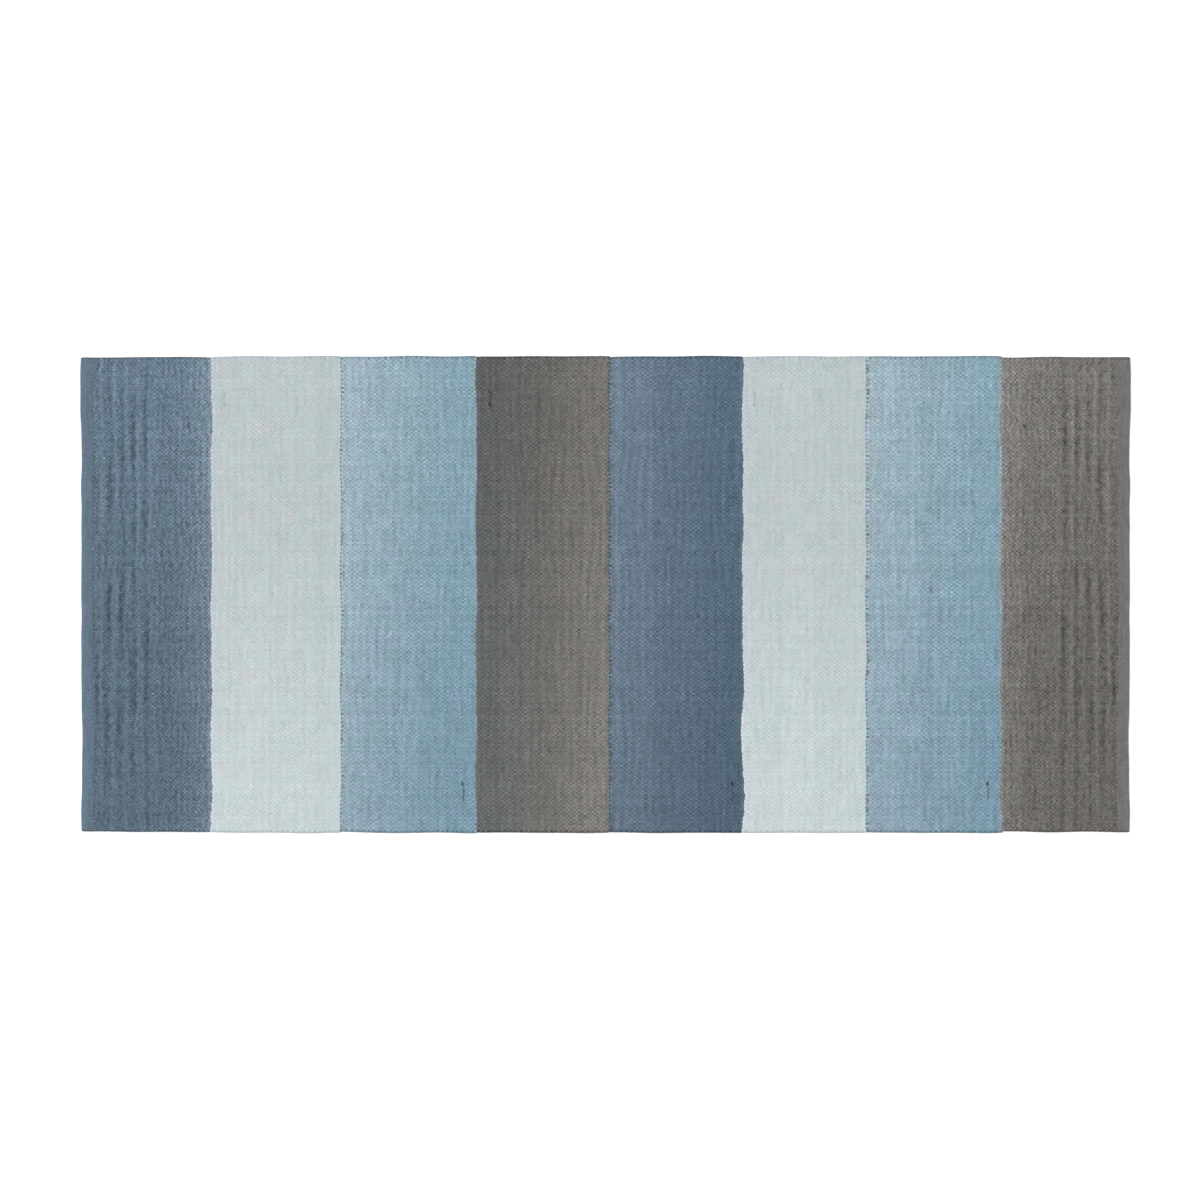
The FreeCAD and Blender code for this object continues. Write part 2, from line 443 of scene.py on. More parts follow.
class Nodes:
    """A short way to write a material's node tree."""

    def __init__(self, name):
        self.material = bpy.data.materials.new(name)
        self.material.use_nodes = True
        self.tree = self.material.node_tree
        self.shader = self.tree.nodes["Principled BSDF"]

    def connect(self, value, socket):
        if isinstance(value, bpy.types.NodeSocket):
            self.tree.links.new(value, socket)
        else:
            socket.default_value = value

    def attribute(self, name):
        node = self.tree.nodes.new("ShaderNodeAttribute")
        node.attribute_name = name
        return node.outputs["Fac"]

    def position(self):
        return self.tree.nodes.new("ShaderNodeTexCoord").outputs["Object"]

    def math(self, operation, *values):
        node = self.tree.nodes.new("ShaderNodeMath")
        node.operation = operation
        for value, socket in zip(values, node.inputs):
            self.connect(value, socket)
        return node.outputs[0]

    def product(self, first, *others):
        """Several numbers multiplied together."""
        for other in others:
            first = self.math("MULTIPLY", first, other)
        return first

    def cosine(self, value, times):
        return self.math("COSINE", self.product(value, times))

    def sine(self, value, times):
        return self.math("SINE", self.product(value, times))

    def vector(self, x=0.0, y=0.0, z=0.0):
        node = self.tree.nodes.new("ShaderNodeCombineXYZ")
        for value, socket in zip((x, y, z), node.inputs):
            self.connect(value, socket)
        return node.outputs[0]

    def stretched(self, vector, along_x, along_y):
        node = self.tree.nodes.new("ShaderNodeVectorMath")
        node.operation = "MULTIPLY"
        self.connect(vector, node.inputs[0])
        node.inputs[1].default_value = (along_x, along_y, 1.0)
        return node.outputs[0]

    def noise(self, vector, scale, detail=2.0, roughness=0.5):
        node = self.tree.nodes.new("ShaderNodeTexNoise")
        self.connect(vector, node.inputs["Vector"])
        node.inputs["Scale"].default_value = scale
        node.inputs["Detail"].default_value = detail
        node.inputs["Roughness"].default_value = roughness
        return node.outputs["Fac"]

    def random(self, vector):
        node = self.tree.nodes.new("ShaderNodeTexWhiteNoise")
        node.noise_dimensions = "3D"
        self.connect(vector, node.inputs["Vector"])
        return node.outputs["Value"]

    def spread(self, value, low, high, out_low, out_high):
        node = self.tree.nodes.new("ShaderNodeMapRange")
        node.interpolation_type = "SMOOTHSTEP"
        for number, given in enumerate((value, low, high, out_low, out_high)):
            self.connect(given, node.inputs[number])
        return node.outputs[0]

    def swing(self, value, amount, low=0.3, high=0.7):
        """A factor from 1 - amount to 1 + amount, as the value goes from low to high."""
        return self.spread(value, low, high, 1 - amount, 1 + amount)

    def ramp(self, value, stops):
        node = self.tree.nodes.new("ShaderNodeValToRGB")
        self.connect(value, node.inputs["Fac"])
        elements = node.color_ramp.elements
        while len(elements) < len(stops):
            elements.new(0.5)
        for element, (place, colour) in zip(elements, stops):
            element.position = place
            element.color = colour
        return node.outputs["Color"]

    def mix(self, factor, first, second, blend="MIX"):
        node = self.tree.nodes.new("ShaderNodeMix")
        node.data_type = "RGBA"
        node.blend_type = blend
        self.connect(factor, node.inputs["Factor"])
        self.connect(first, node.inputs["A"])
        self.connect(second, node.inputs["B"])
        return node.outputs["Result"]

    def scaled(self, colour, factor):
        """A colour times a number that changes over the surface."""
        node = self.tree.nodes.new("ShaderNodeVectorMath")
        node.operation = "SCALE"
        self.connect(colour, node.inputs[0])
        self.connect(factor, node.inputs["Scale"])
        return node.outputs[0]

    def reach(self, vector, middle, half_x, half_y):
        """Distance from a middle point in x and y, where 1 is on the edge of an ellipse of this size."""
        offset = self.tree.nodes.new("ShaderNodeVectorMath")
        offset.operation = "SUBTRACT"
        self.connect(vector, offset.inputs[0])
        offset.inputs[1].default_value = (*middle, 0.0)
        length = self.tree.nodes.new("ShaderNodeVectorMath")
        length.operation = "LENGTH"
        self.connect(self.stretched(offset.outputs[0], 1 / half_x, 1 / half_y), length.inputs[0])
        return length.outputs["Value"]

    def bump(self, height, distance, strength=1.0):
        node = self.tree.nodes.new("ShaderNodeBump")
        self.connect(height, node.inputs["Height"])
        node.inputs["Distance"].default_value = distance
        node.inputs["Strength"].default_value = strength
        self.tree.links.new(node.outputs["Normal"], self.shader.inputs["Normal"])

    def cotton(self, colour, sheen=0.25):
        """The surface of dull cotton, in this colour."""
        self.connect(colour, self.shader.inputs["Base Color"])
        self.shader.inputs["Roughness"].default_value = 0.92
        self.shader.inputs["Specular IOR Level"].default_value = 0.18
        self.shader.inputs["Sheen Weight"].default_value = sheen
        self.shader.inputs["Sheen Roughness"].default_value = 0.45
        return self.material


class ClothNodes(Nodes):
    """The same for woven cloth, with its place on the rug and in the weave."""

    def __init__(self, name):
        super().__init__(name)
        self.pick = self.attribute("pick")
        self.warp = self.attribute("warp")
        self.place = self.position()
        self.thread = self.nearest(self.pick)

    def nearest(self, value):
        """The whole number nearest to a value: the thread that a point lies on."""
        return self.math("FLOOR", self.math("ADD", value, 0.5))

    def crowns(self):
        """1 where a weft thread passes over a warp thread, and -1 where it passes under."""
        return self.product(self.cosine(self.pick, math.pi), self.cosine(self.warp, math.pi))

    def patches(self, along_x, along_y, scale, low, high, strength):
        """Soft patches of up to this strength, on a noise stretched by these amounts."""
        noise = self.noise(self.stretched(self.place, along_x, along_y), scale, 2)
        return self.spread(noise, low, high, 0.0, strength)


def dyed(nodes, across, colours, start_tint, end_tint):
    """The dye's colour across a band, with a tint of their own for the fibres beside its joins."""
    last = len(colours) - 1
    base = nodes.ramp(across, [(step / last, linear(colour)) for step, colour in enumerate(colours)])
    if start_tint:
        base = nodes.mix(nodes.spread(across, 0.0, 0.03, 0.85, 0.0), base, linear(start_tint))
    if end_tint:
        base = nodes.mix(nodes.spread(across, 0.96, 1.0, 0.0, 0.85), base, linear(end_tint))
    return base


def hue_patches_on(nodes, base, hue_patches, hue_drift):
    """The dye in redder and greener patches, and redder towards the back than the front of the rug."""
    red_tint = (1 + 0.03 * hue_patches, 1 - 0.02 * hue_patches, 1.0, 1)
    green_tint = (1 - 0.025 * hue_patches, 1 + 0.015 * hue_patches, 1 - 0.01 * hue_patches, 1)
    redder = nodes.mix(1.0, base, red_tint, "MULTIPLY")
    greener = nodes.mix(1.0, base, green_tint, "MULTIPLY")
    tinted = nodes.mix(nodes.spread(nodes.noise(nodes.place, 45, 3), 0.38, 0.62, 0, 1), greener, redder)
    if hue_drift:
        back = nodes.mix(1.0, tinted, (1 + hue_drift, 1.0, 1 - hue_drift, 1), "MULTIPLY")
        front = nodes.mix(1.0, tinted, (1 - hue_drift, 1.0, 1 + hue_drift, 1), "MULTIPLY")
        tinted = nodes.mix(nodes.spread(nodes.attribute("along"), -1.1, 1.1, 0, 1), front, back)
    return tinted


def painted_weave_light_and_shade(nodes, contrast):
    """Painted highlights on the crowns and painted shade in the pits, each of its own strength, and stronger
    in some patches than others.
    """
    diagonal = nodes.product(nodes.sine(nodes.pick, math.pi), nodes.sine(nodes.warp, math.pi))
    crown = nodes.math("ADD", nodes.crowns(), nodes.product(diagonal, nodes.attribute("slant")))
    each = nodes.random(nodes.vector(nodes.thread, nodes.nearest(nodes.warp), 3.7))
    top = nodes.spread(crown, 0.2, 1.0, 0.0, 1.0)
    crown_highlight = nodes.spread(each, 0, 1, 0.0, 0.56 * contrast)
    pit = nodes.spread(crown, -1.0, 0.0, 1.0, 0.0)
    pit_shade = nodes.spread(each, 0, 1, 0.08 * contrast, 0.42 * contrast)
    patchy = nodes.spread(nodes.noise(nodes.place, 20, 2), 0.32, 0.68, 0.75, 1.30)
    where_puckered = nodes.spread(nodes.attribute("flattened"), 0, 1, 1.0, 0.7)
    # Painted highlight on each crown, less painted shade in each pit.
    weave = nodes.math("SUBTRACT", nodes.product(top, crown_highlight), nodes.product(pit, pit_shade))
    return nodes.math("ADD", nodes.product(weave, patchy, where_puckered), 1.0)


def thread_tones(nodes, mottle):
    """The tones of each pick, of the stretches along it, of each warp thread and of soft clouds."""
    along_thread = nodes.vector(nodes.product(nodes.thread, 7.3), nodes.product(nodes.warp, 0.09))
    warp_thread = nodes.vector(0.5, nodes.nearest(nodes.warp))
    return (
        nodes.swing(nodes.random(nodes.vector(nodes.thread)), 0.05 * mottle, 0, 1),
        nodes.swing(nodes.noise(along_thread, 1.0, 3), 0.09 * mottle),
        nodes.swing(nodes.random(warp_thread), 0.052 * mottle, 0, 1),
        nodes.swing(nodes.noise(nodes.place, 22, 3, 0.6), 0.05 * mottle),
    )


def crease_shade_and_tones(nodes, contrast, crease, clumpy):
    """The painted shade in the puckers' valleys, the small clumps that deepen it, and the lines of the warp
    among the puckers.
    """
    clumps = nodes.noise(nodes.stretched(nodes.place, 1.0, 0.55), 260, 2, 0.6)
    clumps = nodes.spread(clumps, 0.42, 0.68, 0.0, 1.0)
    valley = nodes.product(nodes.attribute("valley"), nodes.spread(clumps, 0, 1, 0.9, 1.35))
    line_patch = nodes.patches(0.6, 1.0, 40, 0.46, 0.60, 0.20)
    line_patch = nodes.product(line_patch, nodes.attribute("flattened"))
    warp_lines = nodes.product(nodes.cosine(nodes.warp, 2 * math.pi), line_patch)
    return (
        # Painted shade in the puckers' valleys, deeper where the clumps are.
        nodes.math("SUBTRACT", 1.0, nodes.product(valley, 0.25 * crease)),
        nodes.math("ADD", 1.0, warp_lines),
        nodes.spread(clumps, 0, 1, 1 + 0.03 * contrast * clumpy, 1 - 0.09 * contrast * clumpy),
    )


def edge_shade_and_fibre_tones(nodes, contrast):
    """The painted shade along the rounded long edge, the haze of loose fibre, and the fibres themselves."""
    haze = nodes.noise(nodes.stretched(nodes.place, 0.5, 1.0), 470, 2)
    fibres = nodes.noise(nodes.vector(nodes.product(nodes.pick, 9), nodes.product(nodes.warp, 2.2)), 1.0, 3)
    return (
        # Painted shade along the rounded long edge.
        nodes.spread(nodes.attribute("edge"), 0, 1, 1.0, 1 - 0.40 * contrast),
        nodes.swing(haze, 0.14 * contrast),
        nodes.swing(fibres, 0.07, 0.25, 0.75),
    )


def stray_fibres(nodes, across, amount):
    """How strongly dark fibres from the join show among the first picks of a band."""
    stray = nodes.random(nodes.vector(nodes.thread, nodes.nearest(nodes.warp), 5.3))
    stray = nodes.spread(stray, 0.96 - amount, 1 - amount, 0.0, 0.55)
    return nodes.product(stray, nodes.spread(across, 0.012, 0.034, 1.0, 0.0))


def thread_ends(nodes, across, ends):
    """How strongly the worked-in thread ends of a band show: each is a dark knot, most with a thin tail.

    ends holds, for each, its share of the way across the band, its y, how far its tail runs to the back,
    and its strength.
    """
    from_start = nodes.product(across, USUAL_BAND_LENGTH)
    y = nodes.product(nodes.attribute("along"), cad_high.y)
    waver = nodes.noise(nodes.vector(from_start, y), 110, 2)
    waver = nodes.spread(waver, 0.3, 0.7, -END_WAVER, END_WAVER)
    here = nodes.vector(nodes.math("ADD", from_start, waver), y)
    total = 0.0
    for share, knot_y, tail, strength in ends:
        middle_x = share * USUAL_BAND_LENGTH
        knot = nodes.reach(here, (middle_x, knot_y), *KNOT_HALF_SIZE)
        total = nodes.math("MAXIMUM", total, nodes.spread(knot, 0.5, 1.2, strength, 0.0))
        if tail:
            line = nodes.reach(here, (middle_x, knot_y + tail / 2), TAIL_HALF_WIDTH, abs(tail) / 2)
            total = nodes.math("MAXIMUM", total, nodes.spread(line, 0.5, 1.1, 0.75 * strength, 0.0))
    return total


def thread_bump(nodes):
    """The twist of the threads, and the fuzz on them."""
    turns = nodes.math("ADD", nodes.product(nodes.warp, 14), nodes.product(nodes.pick, 11))
    twist = nodes.math("SINE", turns)
    fuzz = nodes.noise(nodes.vector(nodes.product(nodes.pick, 22), nodes.product(nodes.warp, 12)), 1.0, 2)
    nodes.bump(nodes.math("ADD", nodes.product(twist, 0.25), fuzz), 0.12 * MM)


def woven_cotton(name, colours, tone_along, start_tint=None, end_tint=None, contrast=1.0, mottle=1.0,
                 crease=1.0, clumpy=1.0, hue_patches=0.6, hue_drift=0.0, stray_specks=0.0, ends=()):
    """Dyed cotton weft in plain weave.

    colours are display colours at even steps from the start of the band to its end. tone_along says how
    the tone changes along the weft: two places, as shares of half the rug's width, and the tone at each.
    A tint is the display colour of the few fibres beside a join. contrast, mottle, crease, clumpy and
    hue_patches are how strongly the weave's painted highlights and shade, the threads' own tones, the
    painted shade in the puckers' valleys, the small dark clumps and the redder and greener patches show;
    contrast also sets the painted shade along the long edge. hue_drift makes the dye redder towards the back
    of the rug and bluer towards the front. stray_specks is how many dark fibres the first picks hold. ends
    are the worked-in thread ends.
    """
    nodes = ClothNodes(name)
    across = nodes.attribute("across")
    base = dyed(nodes, across, colours, start_tint, end_tint)
    # The tone holds painted highlights on the crowns, painted shade in the pits, in the puckers' valleys and
    # along the rounded long edge, and the threads' own random tones.
    tone = nodes.product(
        painted_weave_light_and_shade(nodes, contrast),
        *thread_tones(nodes, mottle),
        nodes.spread(nodes.attribute("along"), *tone_along),
        *crease_shade_and_tones(nodes, contrast, crease, clumpy),
        *edge_shade_and_fibre_tones(nodes, contrast),
    )
    dye = hue_patches_on(nodes, base, hue_patches, hue_drift)
    if stray_specks:
        dye = nodes.mix(stray_fibres(nodes, across, stray_specks), dye, linear(DARK_THREAD))
    colour = nodes.scaled(dye, tone)
    slub = nodes.random(nodes.vector(nodes.thread, nodes.math("FLOOR", nodes.product(nodes.warp, 0.4)), 9.1))
    slub = nodes.spread(slub, 0.9975, 0.999, 0, 0.55 * contrast)
    colour = nodes.mix(slub, colour, nodes.scaled(base, 0.42))
    if ends:
        colour = nodes.mix(thread_ends(nodes, across, ends), colour, nodes.scaled(base, 0.25))
    thread_bump(nodes)
    return nodes.cotton(colour)


def thread_material(name, colour, twist_per_metre=700):
    """A single plied thread."""
    nodes = Nodes(name)
    place = nodes.position()
    separate = nodes.tree.nodes.new("ShaderNodeSeparateXYZ")
    nodes.connect(place, separate.inputs[0])
    x, y = separate.outputs["X"], separate.outputs["Y"]
    ply = nodes.sine(nodes.math("ADD", x, y), twist_per_metre * 2 * math.pi)
    # Painted shade in the grooves of the twist and painted light on the plies, with a random tone over them.
    tone = nodes.product(
        nodes.spread(ply, -1, 1, 0.82, 1.08),
        nodes.spread(nodes.noise(place, 260, 3), 0.3, 0.7, 0.85, 1.12),
    )
    nodes.bump(ply, 0.08 * MM)
    base = linear(colour)
    return nodes.cotton(nodes.scaled(base[:3], tone), sheen=0.15)


def hem_cotton(name, colour, tint):
    """The hem's finer and flatter weave. The tint is a display colour it takes on in soft patches."""
    nodes = ClothNodes(name)
    drift = nodes.vector(nodes.product(nodes.thread, 5.1), nodes.product(nodes.warp, 0.15))
    rib_patch = nodes.patches(0.5, 1.0, 45, 0.46, 0.62, 0.20)
    ribs = nodes.product(nodes.cosine(nodes.warp, 2 * math.pi), rib_patch)
    # Painted highlights on the crowns, and painted shade in the pits, in the grooves by the seam and along
    # the rounded long edge, among the threads' own random tones.
    tone = nodes.product(
        nodes.spread(nodes.crowns(), -1, 1, 0.88, 1.10),
        nodes.swing(nodes.random(nodes.vector(nodes.thread)), 0.07, 0, 1),
        nodes.spread(nodes.noise(drift, 1.0, 3), 0.3, 0.7, 0.90, 1.08),
        nodes.swing(nodes.noise(nodes.place, 90, 3, 0.6), 0.06),
        nodes.math("ADD", 1.0, ribs),
        nodes.swing(nodes.noise(nodes.place, 430, 2), 0.12),
        nodes.spread(nodes.attribute("seam"), 0, 1, 1.0, 0.93),
        nodes.spread(nodes.attribute("edge"), 0, 1, 1.0, 0.62),
    )
    nodes.bump(nodes.noise(nodes.place, 1100, 3), 0.22 * MM)
    base = nodes.mix(nodes.patches(1.0, 0.4, 60, 0.45, 0.65, 1.0), linear(colour), linear(tint))
    return nodes.cotton(nodes.scaled(base, tone))


def floor_material():
    nodes = Nodes("studio_floor")
    tone = nodes.spread(nodes.noise(nodes.position(), 3, 2), 0.3, 0.7, 0.925, 0.935)
    nodes.connect(nodes.scaled((1.0, 1.0, 1.0), tone), nodes.shader.inputs["Base Color"])
    nodes.shader.inputs["Roughness"].default_value = 0.9
    nodes.shader.inputs["Specular IOR Level"].default_value = 0.1
    return nodes.material


# How the tone changes along the weft: two places, as shares of half the rug's width, and the tone at each
LIGHTER_BACK = (-0.4, 1.0, 0.91, 1.18)
EVENLY_LIGHTER_BACK = (-1.2, 1.2, 0.915, 1.11)
LIGHTER_FRONT = (-1.0, 0.4, 1.09, 0.955)
EVENLY_LIGHTER_FRONT = (-1.2, 1.2, 1.10, 0.90)

slate_left = woven_cotton(
    "slate_weft_left",
    ((99, 119, 135), (98, 118, 134), (99, 119, 135), (103, 123, 139), (119, 138, 153)),
    LIGHTER_BACK, end_tint=(138, 155, 167), contrast=1.08, clumpy=2.0,
    ends=[(0.80, 212 * MM, 0, 0.7)])
pale_grey = woven_cotton(
    "pale_grey_weft",
    ((198, 208, 211), (197, 207, 210), (193, 205, 207)),
    LIGHTER_FRONT, start_tint=(200, 210, 219), end_tint=(194, 208, 211),
    contrast=0.30, mottle=0.35, crease=0.25, hue_patches=0.8, ends=[(0.10, 239 * MM, 20 * MM, 0.4)])
sky_blue = woven_cotton(
    "sky_blue_weft",
    ((158, 180, 193), (140, 167, 181), (129, 161, 178)),
    EVENLY_LIGHTER_BACK, end_tint=(146, 158, 165),
    contrast=0.72, mottle=0.8, crease=0.6, hue_patches=0.8, hue_drift=0.025, stray_specks=0.14,
    ends=[(0.90, -238 * MM, -26 * MM, 0.95)])
taupe = woven_cotton(
    "taupe_weft",
    ((98, 101, 102), (109, 109, 106), (129, 126, 122)),
    EVENLY_LIGHTER_FRONT, start_tint=(98, 108, 114), end_tint=(112, 118, 121),
    contrast=0.92, mottle=0.9, hue_patches=1.0, ends=[(0.105, 239 * MM, 22 * MM, 0.95)])
slate_middle = woven_cotton(
    "slate_weft_middle",
    ((111, 129, 146), (94, 113, 131), (82, 104, 123)),
    EVENLY_LIGHTER_BACK, start_tint=(110, 124, 139), end_tint=(101, 117, 130),
    contrast=0.93, mottle=0.8, stray_specks=0.25, ends=[(0.91, -238 * MM, -26 * MM, 0.95)])
warm_grey = woven_cotton(
    "warm_grey_weft",
    ((132, 129, 126), (116, 113, 110), (114, 111, 108), (114, 111, 108), (113, 110, 107)),
    LIGHTER_BACK, start_tint=(138, 139, 137), contrast=1.08, clumpy=2.0, hue_patches=1.0,
    ends=[(0.20, 212 * MM, 0, 0.8)])
BAND_MATERIALS = [slate_left, pale_grey, sky_blue, taupe, slate_middle, pale_grey, sky_blue, warm_grey]


# ------------------------------ the bands, in order
def boundary(before_x, after_x, line, is_join, has_dark_pick=False):
    """A line across the rug where one band ends and the next, or a hem, begins."""
    tooth = 0.0
    if is_join:
        tooth = PICKED_TOOTH if has_dark_pick else PLAIN_TOOTH
    return {
        "x": (before_x + after_x) / 2,
        "line": line,
        "has_dark_pick": has_dark_pick,
        "inset": PICKED_INSET if has_dark_pick else 0.0,
        "tooth": tooth,
        "groove": GROOVE if has_dark_pick else 0.0,
        "notch": NOTCH if is_join else 0.0,
    }


def boundaries():
    """Every boundary from the left hem's seam to the right hem's. Three joins hold a dark pick."""
    boxes = [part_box(name) for name in BANDS]
    found = [boundary(boxes[0][0].x, boxes[0][0].x, mirrored(seam_bulge), is_join=False)]
    for number, line in enumerate(join_lines):
        end_x = boxes[number][1].x
        next_x = boxes[number + 1][0].x
        found.append(boundary(end_x, next_x, line, is_join=True, has_dark_pick=next_x - end_x > 1 * MM))
    found.append(boundary(boxes[-1][1].x, boxes[-1][1].x, seam_bulge, is_join=False))
    return found


BOUNDARIES = boundaries()
bands = []
dark_pick_numbers = []
next_pick = 0
for number, name in enumerate(BANDS):
    if BOUNDARIES[number]["has_dark_pick"]:
        dark_pick_numbers.append(next_pick)
        next_pick += 1
    band, next_pick = woven_band(
        name, BOUNDARIES[number], BOUNDARIES[number + 1], next_pick, BAND_MATERIALS[number]
    )
    bands.append(band)


# ------------------------------ threads, as tubes along a line of points
def thread_tube(path, radius, sides=6):
    """Points and faces of a closed tube of thread with rounded tips along a path of points."""
    path = np.asarray(path, dtype=float)
    radius = np.broadcast_to(radius, len(path)).astype(float)
    direction = np.gradient(path, axis=0)
    direction /= np.linalg.norm(direction, axis=1)[:, None]
    up = np.array([0.0, 0.0, 1.0]) if abs(direction[:, 2]).max() < 0.95 else np.array([1.0, 0.0, 0.0])
    side = np.cross(direction, up)
    side /= np.linalg.norm(side, axis=1)[:, None]
    rise = np.cross(side, direction)
    angle = 2 * np.pi * np.arange(sides) / sides
    ring = side[:, None, :] * np.cos(angle)[None, :, None] + rise[:, None, :] * np.sin(angle)[None, :, None]
    points = path[:, None, :] + ring * radius[:, None, None]
    points = points.reshape(-1, 3)
    faces = tube_faces(len(path), sides)
    tip_start, tip_end = len(points), len(points) + 1
    tips = np.array([path[0] - direction[0] * radius[0] * 0.6, path[-1] + direction[-1] * radius[-1] * 0.6])
    points = np.concatenate([points, tips])
    points[:, 2] = np.maximum(points[:, 2], FLOOR_Z)
    last = (len(path) - 1) * sides
    for corner in range(sides):
        following = (corner + 1) % sides
        faces.append([tip_start, corner, following])
        faces.append([tip_end, last + following, last + corner])
    return points, faces


def joined(parts):
    """Several sets of points and faces as one set."""
    all_points, all_faces, offset = [], [], 0
    for points, faces in parts:
        all_points.append(points)
        all_faces += [[corner + offset for corner in face] for face in faces]
        offset += len(points)
    return np.concatenate(all_points), all_faces


# ------------------------------ dark picks in three of the joins
DARK_PICK_RADIUS = 0.46 * MM    # where the thread passes through the cloth, and more where it shows
DARK_PICK_HEIGHT = 1.50 * MM    # how far it swings above and below the middle of the cloth
DARK_PICK_WANDER = 0.10 * MM


def dark_pick(name, edge, pick_number, material):
    """One dark weft thread in its groove, over a warp thread and under the next, right across the rug."""
    seed = 200 + 10 * JOIN_PICKS.index(name)
    rng = np.random.default_rng(seed)
    warp = np.arange(-1, 4 * WARP_GAPS + 2) / 4
    y = -SELVEDGE_Y + warp * WARP_SPACING
    x = edge["x"] + edge["line"](y) + DARK_PICK_WANDER * rng.normal(size=len(warp))
    fullness = np.clip(wave_field(seed + 1, 1, 34 * MM)(0, y), -1.6, 1.2)
    wave = np.cos(np.pi * pick_number) * np.cos(np.pi * warp)
    height = DARK_PICK_HEIGHT + 0.16 * MM * fullness
    z = MID_Z + height * np.tanh(1.6 * wave) / math.tanh(1.6)
    radius = DARK_PICK_RADIUS + (0.10 * np.abs(wave) + 0.05 * fullness) * MM
    points, faces = thread_tube(np.stack([x, y, z], -1), radius, 8)
    piece = add_piece(name + "_thread", points, faces, material=material)
    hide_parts(name)
    return piece


dark_thread = thread_material("dark_pick", DARK_THREAD)
washed_out_thread = thread_material("dark_pick_washed_out", WASHED_OUT_THREAD)
picked_boundaries = [edge for edge in BOUNDARIES if edge["has_dark_pick"]]
pick_materials = [washed_out_thread, dark_thread, washed_out_thread]
dark_picks = [
    dark_pick(*facts)
    for facts in zip(JOIN_PICKS, picked_boundaries, dark_pick_numbers, pick_materials)
]


# ------------------------------ hems
HEM_PICK = 1.7 * MM
HEM_RELIEF = 0.16 * MM
HEM_SLIT = 0.25 * MM
HEM_OVERLAP = 0.6 * MM          # how far the hem runs in among the first picks of its band
HEM_INSET = 0.1 * MM            # how far its ends lie in from the turns of the bands
HEM_CROWN = 0.35 * MM           # how much its top bulges between the fold and the seam
HEM_SINK = 0.55 * MM            # how far its top sinks at the seam, where the stitches pull it down
HEM_CORNER = 1.7 * MM           # radius of its corners, seen from above
RIB_LENGTH = 3.5 * MM           # how far the grooves between its ribs run out from the seam
RIB_DEPTH = 0.15 * MM


def hem_profile(width):
    """The turned heading from the side, as distances in from the fold and heights above the middle.

    Runs from the seam along the top to the fold, back along the underside, and then along the slit
    between the two layers. Also gives the outward direction, and 1 for points of the outer skin.
    """
    radius = THICKNESS / 2 - HEM_RELIEF
    flat = width - radius
    steps = round(flat / (HEM_PICK / 2))
    inward = np.linspace(width, radius, steps)
    arc = np.linspace(90, -90, 11)[1:-1]
    slit = HEM_SLIT / 2
    slit_in = np.linspace(width, radius, 6)
    distance = np.concatenate([
        inward,
        radius - radius * np.cos(np.radians(arc)),
        inward[::-1],
        slit_in,
        slit_in[::-1],
    ])
    height = np.concatenate([
        np.full(steps, radius),
        radius * np.sin(np.radians(arc)),
        np.full(steps, -radius),
        np.full(len(slit_in), -slit),
        np.full(len(slit_in), slit),
    ])
    level = np.zeros(steps)
    inside = np.zeros(2 * len(slit_in))
    out_in = np.concatenate([level, -np.cos(np.radians(arc)), level, inside])
    out_up = np.concatenate([level + 1, np.sin(np.radians(arc)), level - 1, inside])
    skin = np.concatenate([np.ones(2 * steps + len(arc)), inside])
    return distance, height, out_in, out_up, skin


def hem_rows(half_width):
    """y of the hem's cross sections, half a warp apart, and closer together in the two corners."""
    corner = half_width - np.array([0.0, 0.3, 0.8, 1.5]) * MM
    inner = -SELVEDGE_Y + np.arange(1, 2 * WARP_GAPS) / 2 * WARP_SPACING
    return np.concatenate([-corner, inner, corner[::-1]])[:, None]


def hem_outline(y, distance, outer_x, width, half_width):
    """x of the hem, counted outwards, with the bulge of its fold and of its seam and with round corners."""
    share = distance / width
    outward = outer_x - distance + (1 - share) * end_bulge(y) + share * seam_bulge(y)
    into_corner = np.clip((np.abs(y) - half_width + HEM_CORNER) / HEM_CORNER, 0, 1)
    return outward - HEM_CORNER * (1 - np.sqrt(1 - into_corner ** 2)) * (1 - share)


def hem_rise(pick, warp, groove, distance, width, out_up, skin):
    """How far the hem's surface stands out from its profile."""
    fine = HEM_RELIEF * np.cos(np.pi * pick) * np.cos(np.pi * warp) * skin
    crowned = HEM_CROWN * np.sin(np.pi * np.clip(distance / width, 0, 1)) ** 0.8
    sunk = HEM_SINK * smooth_step(width - 2.2 * MM, width, distance)
    return fine + (crowned - sunk - RIB_DEPTH * groove) * (out_up > 0)


